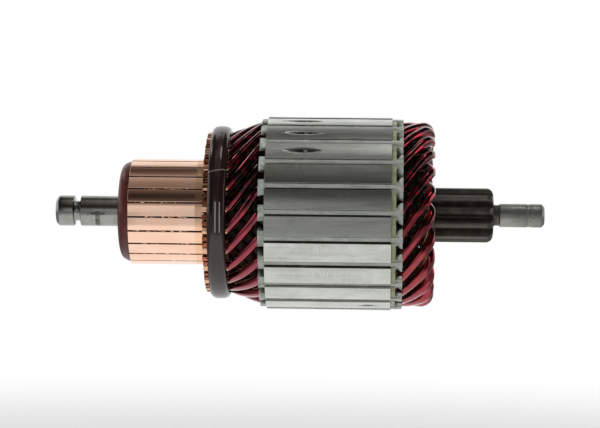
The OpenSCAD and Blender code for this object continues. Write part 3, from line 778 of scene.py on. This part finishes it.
def cuff_path(half, roof_r, drop):
    """Folded cuff: a wall on one side, a rounded roof, and a short lip on the other side."""
    path = [(-half, roof_r - drop), (-half, roof_r - drop / 2)]
    path += arc_points(-half + 0.55, roof_r - 0.55, 0.55, 180, 90, 5)
    path += [(-half * 0.4, roof_r + 0.06), (half * 0.3, roof_r + 0.06)]
    path += arc_points(half - 0.5, roof_r - 0.5, 0.5, 90, 5, 5)
    return path + [(half + 0.02, roof_r - 0.9)]


def add_tube(verts, faces, angle):
    """Lining of the slot itself, a tube with thin walls."""
    wall, gap = 0.25, 0.05
    half, low, high = SLOT_HALF - gap, SLOT_BOTTOM_R + gap, SLOT_TOP_R - gap
    outer = [(-half, low), (-half, high), (half, high), (half, low)]
    half, low, high = half - wall, low + wall, high - wall
    inner = [(half, low), (half, high), (-half, high), (-half, low)]
    n = len(verts)
    for x in (CORE_START - 0.4, DISC_END + 0.45):
        verts += [from_slot(x, y, r, angle) for y, r in outer + inner]
    for k in range(4):
        m = (k + 1) % 4
        faces.append((n + k, n + m, n + m + 8, n + k + 8))
        faces.append((n + k + 4, n + m + 4, n + m + 12, n + k + 12))
        # The inner outline runs the other way round, so that 7 - k lies inside k.
        faces.append((n + k, n + m, n + 7 - m, n + 7 - k))
        faces.append((n + 8 + k, n + 8 + m, n + 15 - m, n + 15 - k))


def add_sleeve(verts, faces, outline, steps, rnd, place):
    """The liner's end, whose outline place(t, y, r, edge) puts at t from 0 to 1 of the way out. The
    last outline has a ragged edge."""
    rings = []
    for step in range(steps + 1):
        rings.append([])
        for y, r in outline:
            edge = rnd.uniform(-0.03, 0.03) if step == steps else 0.0
            rings[-1].append(place(step / steps, y, r + edge, edge))
    add_prism(verts, faces, rings)


def add_cuff(verts, faces, angle, rnd):
    """Folded end of the liner at the commutator end."""
    tilt, flare, skew = rnd.uniform(-0.05, 0.05), rnd.uniform(-0.02, 0.05), rnd.uniform(-0.2, 0.2)
    length = 1.82 * rnd.uniform(0.9, 1.0)

    def place(t, y, r, edge):
        x = CORE_START + 0.02 - length * t
        crease = 0.07 * noise.noise(Vector((x * 0.9, y * 0.8, angle * 3.0)))
        r += tilt * t - 0.25 * t * t * (y < -1.0) + crease
        return from_slot(x + edge, y * (1 + flare * t) + skew * t, r, angle)

    add_sleeve(verts, faces, offset_outline(cuff_path(2.12, 26.1, 3.4), 0.32), 7, rnd, place)


SHOULDERS = [(-3.05, 25.75), (-2.5, 25.98), (-1.7, 26.1), (-0.8, 26.16), (0.8, 26.16), (1.6, 26.05),
             (2.3, 25.7), (2.75, 25.2), (2.95, 24.4), (3.0, 23.4)]


def add_drive_cuff(verts, faces, angle, rnd):
    """Flared end of the liner past the disc. It opens from the slot's width to nearly a pitch."""
    flare, skew, length = rnd.uniform(-0.03, 0.03), rnd.uniform(-0.15, 0.15), rnd.uniform(0.94, 1.0)

    def place(t, y, r, edge):
        x = DISC_END - 0.02 + 1.9 * t * length + edge
        open_up = 0.52 + (0.48 + flare) * sin(t * pi / 2)
        crease = 0.06 * noise.noise(Vector((t * 1.5, y * 0.8, angle * 3.0)))
        dip = 0.75 * (1 - t) ** 2 * min(1.0, max(0.0, abs(y) - 0.9))
        return from_slot(x, y * open_up + skew * t, r - dip + crease, angle)

    add_sleeve(verts, faces, offset_outline(SHOULDERS, 0.28), 8, rnd, place)


def add_strip(verts, faces, angle, rnd):
    """Film strip that closes the mouth and ends as a flap over the drive-end cuff."""
    flap, bend = rnd.uniform(0.9, 1.25), rnd.uniform(-0.15, 0.35)
    stations = [(x, 0.0) for x in spread(CORE_START + 0.05, CORE_END, 12)]
    stations += [(DISC_END - 0.1 + 2.0 * n / 7, n / 7) for n in range(8)]
    rings = []
    for x, t in stations:
        low, high = -0.84 - 0.3 * flap * t, 0.38 + 0.85 * flap * t
        round_end = 0.45 * max(0.0, t - 0.75) * 4
        low, high = low + bend * t + 0.3 * round_end, high + bend * t - round_end
        sag = 0.05 * noise.noise(Vector((x * 0.12, angle, 0.0)))
        top = 26.68 + sag - 0.12 * t
        section = ((low, 26.02), (low, top - 0.12), (low + 0.1, top), (high - 0.15, top - 0.03),
                   (high, top - 0.16), (high, 26.02))
        rings.append([from_slot(x, y, r, angle) for y, r in section])
    add_prism(verts, faces, rings)


def build_liners():
    verts, faces = [], []
    rnd = random.Random(7)
    for slot in range(SLOTS):
        angle = slot * PITCH
        add_tube(verts, faces, angle)
        add_cuff(verts, faces, angle, rnd)
        add_drive_cuff(verts, faces, angle, rnd)
    paper_faces = len(faces)
    for slot in range(SLOTS):
        add_strip(verts, faces, slot * PITCH, rnd)
    mats = [0] * paper_faces + [1] * (len(faces) - paper_faces)
    return mesh_piece("liners_folded", verts, faces, [PAPER, FILM], 50, mats)


stand_for(build_liners(), "liner_paper", "slot_liners")


# --- hairpins

def eased(d, whole, bend):
    """Share of the way from 0 to `whole` of a line that bends softly at both ends."""
    d = min(max(d, 0.0), whole)
    if d > whole / 2:
        return 1 - eased(whole - d, whole, bend)
    return (d * d / 2 / bend if d < bend else d - bend / 2) / (whole - bend)


def eased_rate(d, whole, bend):
    return max(0.0, min(d / bend, 1, (whole - d) / bend)) / (whole - bend)


def wire_outline(power, points=28):
    """Round-edged section with domed faces."""
    outline = []
    for n in range(points):
        a = 2 * pi * (n + 0.5) / points
        c, s = cos(a), sin(a)
        outline.append((WIRE_W / 2 * copysign(abs(c) ** (2 / power), c),
                        WIRE_H / 2 * copysign(abs(s) ** (2 / power), s)))
    return outline


DOMED, FLATTER = wire_outline(2.3), wire_outline(3.2)
# The inner layer's wires are wider by up to this share, with the resin between them.
RESIN_SWELL = 0.2
STRAIGHT = (0, 0, 0)


def wire_ring(z, r, angle, along, outward, sideways, sway, dome, swell=0.0):
    """The wire's outline at the station z. along, outward and sideways are its direction, sway is
    (angle in degrees, radius in mm, roll in degrees) added to the true path, and dome is 1 for the
    outer layer's section and 0 for the flatter inner one."""
    angle, r = angle + sway[0], r + sway[1]
    a = radians(angle)
    radial = Vector((0, -cos(a), -sin(a)))
    around = Vector((0, sin(a), -cos(a)))
    axial = Vector((1, 0, 0))
    tangent = (along * axial + outward * radial + sideways * around).normalized()
    normal = (along * radial - outward * axial).normalized()
    across = tangent.cross(normal)
    c, s = cos(radians(sway[2])), sin(radians(sway[2]))
    centre = z * axial + r * radial
    wide = 1 + swell
    pairs = zip(DOMED, FLATTER)
    outline = [((p * dome + u * (1 - dome)) * wide, q * dome + v * (1 - dome)) for (p, q), (u, v) in pairs]
    return [(centre + (p * c - q * s) * across + (p * s + q * c) * normal) * MM for p, q in outline]


def leg_rings(way, slot_angle, seed):
    """One leg from the riser to the nose. way is 1 in the outer layer and -1 in the inner one."""
    layer = (OUTER_R, RISER_OUTER_R, 1, 0.0) if way > 0 else (INNER_R, RISER_INNER_R, 0, RESIN_SWELL)
    slot_r, riser_r, dome, swell = layer
    riser_angle = slot_angle + way * HALF_SPAN + SHIFT - degrees(RISER_OFFSET / riser_r)

    def sway(path, weight):
        p = Vector((path * 0.22, seed * 7.3, way * 3.1))
        return (0.55 * weight * noise.noise(p), 0.12 * weight * noise.noise(p + Vector((0, 0, 9))),
                5.0 * weight * noise.noise(p + Vector((0, 0, 21))))

    rings = []
    for z in (30.76, 33.0):
        rings.append(wire_ring(z, riser_r, riser_angle, way, 0, 0, STRAIGHT, 0))
    steps = 44
    for n in range(steps + 1):
        fade = sin(pi * n / steps)
        d = TWIST_LEN * (1 - n / steps)
        share, rate = eased(d, TWIST_LEN, TWIST_BEND), eased_rate(d, TWIST_LEN, TWIST_BEND)
        r = slot_r + (riser_r - slot_r) * share
        drop = (riser_r - slot_r) * rate
        turn = radians((riser_angle - slot_angle) * rate) * r
        slope = sqrt(1 + drop * drop)
        angle = slot_angle + (riser_angle - slot_angle) * share
        rings.append(wire_ring(TWIST_START - d, r, angle, way / slope, -way * drop / slope,
                               -way * turn / slope, sway(d, fade), dome * min(1.0, 6 * n / steps),
                               swell * fade))
    for z in (50.0, 60.0, 70.0, 81.0):
        rings.append(wire_ring(z, slot_r, slot_angle, way, 0, 0, STRAIGHT, dome))
    steps = 36
    for n in range(steps):
        s = (DRIVE_LEG + NOSE_PATH) * n / steps
        rings.append(nose_ring(s, way, slot_angle, sway(30 + s, sin(pi * n / steps)),
                               swell * max(0.0, sin(pi * s / (DRIVE_LEG + 1)))))
    return rings


def nose_ring(s, way, slot_angle, sway, swell=0.0):
    """The outline at the distance s from the bend at the core, as far as the tip of the nose."""
    turned = DRIVE_RATE * (s * s / 2 / DRIVE_BEND if s < DRIVE_BEND else s - DRIVE_BEND / 2)
    rate = radians(DRIVE_RATE * min(1.0, s / DRIVE_BEND))
    bow = max(0.0, (s - DRIVE_LEG) / NOSE_R)
    z = DRIVE_START + s if s < DRIVE_LEG else NOSE_START + NOSE_R * sin(bow)
    r = MIDDLE_R + way * NOSE_R * cos(bow)
    dome = 0.5 + 0.5 * way * cos(bow)
    return wire_ring(z, r, slot_angle - way * turned, way * cos(bow), -sin(bow), -rate * r,
                     sway, dome, swell)


def build_hairpin(number):
    outer, inner = number * PITCH, (number - 4) * PITCH
    rings = leg_rings(1, outer, number) + [nose_ring(DRIVE_LEG + NOSE_PATH, 1, outer, STRAIGHT)]
    rings += reversed(leg_rings(-1, inner, number))
    verts, faces = [], []
    add_prism(verts, faces, rings)
    # The inner leg is painted dark between the band and the noses, as painted shade under the outer layer.
    mats = []
    for m, ring in enumerate(rings[1:]):
        painted_dark = m > len(rings) / 2 and BAND_END < ring[0][0] / MM < NOSE_START - 1
        mats += [int(painted_dark)] * len(DOMED)
    wire = mesh_piece(f"wire_{number + 1:02d}", verts, faces, [ENAMEL, INNER_SHADE], 60, mats + [0, 0])
    stand_for(wire, "wire_enamel", f"hairpin_{number + 1:02d}")


for number in range(SLOTS):
    build_hairpin(number)


# --- band

def build_band():
    """A crowned ring with its turns just showing, and the seam where the roving ends."""
    edge, inner_r, side_r, crown_r, seam_turn, turn_w = 0.02, 22.56, 22.8, 22.85, 333.5, 0.7
    profile = [(BAND_START + edge, inner_r), (BAND_START + edge, side_r)]
    middle, half = (BAND_START + BAND_END) / 2, (BAND_END - BAND_START) / 2 - edge
    for n in range(23):
        t = cos(pi * (1 - n / 22))
        crown = (1 - abs(t) ** 2.5) ** (1 / 2.1)
        profile.append((middle + half * t, crown_r + 1.42 * crown))
    profile += [(BAND_END - edge, side_r), (BAND_END - edge, inner_r)]

    def wobble(x, r, angle):
        if r > 22.7:
            a = radians(angle)
            p = Vector((cos(a) * 3.0, sin(a) * 3.0, x * 0.35))
            r += 0.05 * noise.noise(p) - 0.02
            r += 0.05 * exp(-((angle - seam_turn + 0.5 * (x - middle)) / 0.55) ** 2)
            if r > 23.6:
                r += 0.018 * sin((x - BAND_START) * 2 * pi / turn_w)
        return min(r, 24.35)

    verts, faces = revolved(profile, 720, wobble)
    return mesh_piece("band_roving", verts, faces, [BAND], 70)


stand_for(build_band(), "band_resin", "winding_band")


# --- floor, light and camera

FLOOR_Z = -90.0
# The view's middle and the room's size are in metres.
CENTRE = (0.0565, 0, 0)
ROOM_RADIUS, ROOM_HALF = 2.0, 3.4
# Elevations in degrees, 0 being level with the camera. The room's stops are (elevation, brightness).
ROOM_LOW, ROOM_HIGH = -31, 134
STOPS = ((-31, 0.30), (-20, 0.36), (-8, 0.34), (4, 0.25), (12, 0.24), (17, 0.12), (24, 0.08), (31, 0.09),
         (41, 0.10), (49, 0.19), (57, 0.28), (64, 0.27), (73, 0.19), (82, 0.42), (91, 0.46), (99, 0.20),
         (106, 0.13), (113, 0.22), (119, 0.32), (124, 0.72), (134, 0.60))
LEFT_STOPS = ((-31, 0.78), (-24, 0.74), (-15, 0.84), (-6, 0.68), (3, 0.76), (11, 0.86), (16, 0.22),
              (24, 0.10), (30, 0.03), (37, 0.03), (46, 0.12), (57, 0.22), (66, 0.26), (78, 0.44),
              (84, 0.36), (90, 0.16), (97, 0.08), (106, 0.07), (112, 0.22), (119, 0.45), (124, 0.9),
              (134, 0.9))
# Light panels: x from and to in millimetres, elevation from and to, and brightness.
PANELS = ((190, 420, 76, 96, 3.0), (-1900, -1250, 104, 124, 3.0))


def build_floor():
    mesh = bpy.data.meshes.new("floor")
    mesh.from_pydata([(-6, -6, 0), (6, -6, 0), (6, 6, 0), (-6, 6, 0)], [], [(0, 1, 2, 3)])
    floor = put("floor", mesh)
    floor.location = (0.055, 0, FLOOR_Z * MM)
    look = Look("floor_look", 0.86, 0.9)
    path = look.node("ShaderNodeLightPath").outputs
    # In reflections the floor darkens in front of the part and at its sides.
    sides = look.maths("MAXIMUM", look.fall(look.x, -160, -90), look.ramp(look.x, 55, 100))
    around = look.maths("MAXIMUM", look.fall(look.y, -175, -145), sides)
    # What the brush track mirrors stays lighter. Over each spot the camera, at view_x and view_y,
    # sees one station of the shaft, counted from view_x.
    view_x, view_y = 25.0, -617.0
    spread_out = look.maths("MULTIPLY_ADD", look.y, 1 / view_y, 1.0)
    station = look.maths("DIVIDE", look.maths("SUBTRACT", look.x, view_x), spread_out)
    track = look.window(station, -72.5, -71.5, -49.5, -48.5)
    dim = look.mix(track, 0.32, 0.72)
    shade = look.mix(look.times(around, path["Is Glossy Ray"]), 1, dim)
    white = look.node("ShaderNodeEmission", {"Color": shade, "Strength": 1.0})
    # The camera sees plain white away from the part, so that only the shadow shows.
    distance = look.node("ShaderNodeVectorMath", {0: look.place}, operation="LENGTH").outputs["Value"]
    share = look.times(look.ramp(distance, 0.18, 0.62), path["Is Camera Ray"])
    for kind in ("Is Glossy Ray", "Is Transmission Ray"):
        share = look.maths("ADD", share, path[kind])
    blend = look.node("ShaderNodeMixShader", {0: share, 1: look.bsdf.outputs[0], 2: white.outputs[0]})
    feed(look.tree, look.tree.nodes["Material Output"].inputs[0], blend.outputs[0])
    mesh.materials.append(look.mat)


def build_world():
    """Grey light all round, and plain white where the world itself is seen."""
    world = bpy.data.worlds.new("studio")
    world.use_nodes = True
    tree = world.node_tree
    grey = tree.nodes["Background"]
    grey.inputs["Color"].default_value = colour_of(0.62)
    white = add_node(tree, "ShaderNodeBackground", {"Color": colour_of(1)})
    path = add_node(tree, "ShaderNodeLightPath").outputs
    seen = path["Is Camera Ray"]
    for kind in ("Is Glossy Ray", "Is Transmission Ray"):
        both = {0: seen, 1: path[kind]}
        seen = add_node(tree, "ShaderNodeMath", both, operation="ADD", use_clamp=True).outputs[0]
    blend = add_node(tree, "ShaderNodeMixShader", {0: seen, 1: grey.outputs[0], 2: white.outputs[0]})
    feed(tree, tree.nodes["World Output"].inputs[0], blend.outputs[0])
    bpy.context.scene.world = world


def shade_by_turn(look, turn, stops, warmth=0.0):
    """A shade for each elevation; warmth takes green and blue out of the dark ones."""
    ramp = look.node("ShaderNodeValToRGB", {0: turn})
    steps = ramp.color_ramp.elements
    steps.remove(steps[1])
    for n, (elevation, shade) in enumerate(stops):
        step = steps[0] if n == 0 else steps.new((elevation - ROOM_LOW) / (ROOM_HIGH - ROOM_LOW))
        tint = warmth * max(0.0, 1 - shade / 0.6)
        step.color = (shade, shade * (1 - tint * 0.7), shade * (1 - tint), 1)
    return ramp.outputs[0]


def build_room():
    """The dark room round the camera, as a sweep about the shaft's axis that shows only in reflections."""
    verts, count = [], 64
    for e in spread(radians(ROOM_LOW), radians(ROOM_HIGH), count):
        for x in (CENTRE[0] - ROOM_HALF, CENTRE[0] + ROOM_HALF):
            verts.append((x, -ROOM_RADIUS * cos(e), ROOM_RADIUS * sin(e)))
    mesh = bpy.data.meshes.new("room_front")
    mesh.from_pydata(verts, [], [(2 * n, 2 * n + 1, 2 * n + 3, 2 * n + 2) for n in range(count)])
    sweep = put("room_front", mesh)
    look = Look("room_front_look", 0, 1.0, Specular_IOR_Level=0.0)
    turn = look.ramp(look.a, radians(ROOM_LOW), radians(ROOM_HIGH), smooth=False)
    room = look.tint(look.x, -135, -85, shade_by_turn(look, turn, LEFT_STOPS, 0.35),
                     shade_by_turn(look, turn, STOPS))
    # The left of the core mirrors a darker part, and the room darkens away from the middle.
    part = look.times(look.window(look.x, -110, -60, -20, 45), look.ramp(turn, 0.17, 0.2, 0.0, 0.35))
    room = look.mix(part, room, 0)
    aside = look.maths("MAXIMUM", look.ramp(look.x, 290, 440), look.fall(look.x, -560, -330))
    room = look.mix(aside, room, 0.02)
    elevation = look.times(look.a, 180 / pi)
    for x0, x1, e0, e1, light in PANELS:
        along = look.window(look.x, x0 - 60, x0 + 60, x1 - 60, x1 + 60)
        up = look.window(elevation, e0 - 2, e0 + 2, e1 - 2, e1 + 2)
        room = look.mix(look.times(along, up), room, light)
    look.set("Emission Color", room)
    look.set("Emission Strength", 1.0)
    mesh.materials.append(look.mat)
    sweep.visible_camera = sweep.visible_shadow = sweep.visible_diffuse = False


def build_lamp(name, size_x, size_y, place, power):
    data = bpy.data.lights.new(name, "AREA")
    data.shape = "RECTANGLE"
    data.size, data.size_y = size_x, size_y
    data.energy = power
    lamp = put(name, data)
    lamp.location = place
    lamp.rotation_euler = (Vector(CENTRE) - Vector(place)).to_track_quat("-Z", "Y").to_euler()
    lamp.visible_glossy = False


build_floor()
build_world()
build_room()
build_lamp("lamp_top", 1.6, 1.2, (0.1, 0.25, 1.3), 5)
build_lamp("lamp_front", 1.8, 1.0, (0.0, -1.0, -0.85), 11)


def build_camera():
    data = bpy.data.cameras.new("camera")
    data.lens, data.sensor_width = 132, 36
    data.clip_start, data.clip_end = 0.05, 50
    camera = put("camera", data)
    height, roll = -0.00025, 0.66
    place, target = Vector((0.08035, -0.6175, height)), Vector((CENTRE[0], 0, height))
    camera.location = place
    camera.rotation_mode = "QUATERNION"
    aim = (target - place).to_track_quat("-Z", "Y")
    camera.rotation_quaternion = aim @ Quaternion((0, 0, 1), radians(roll))
    bpy.context.scene.camera = camera


build_camera()
bpy.context.scene.view_settings.view_transform = "Standard"
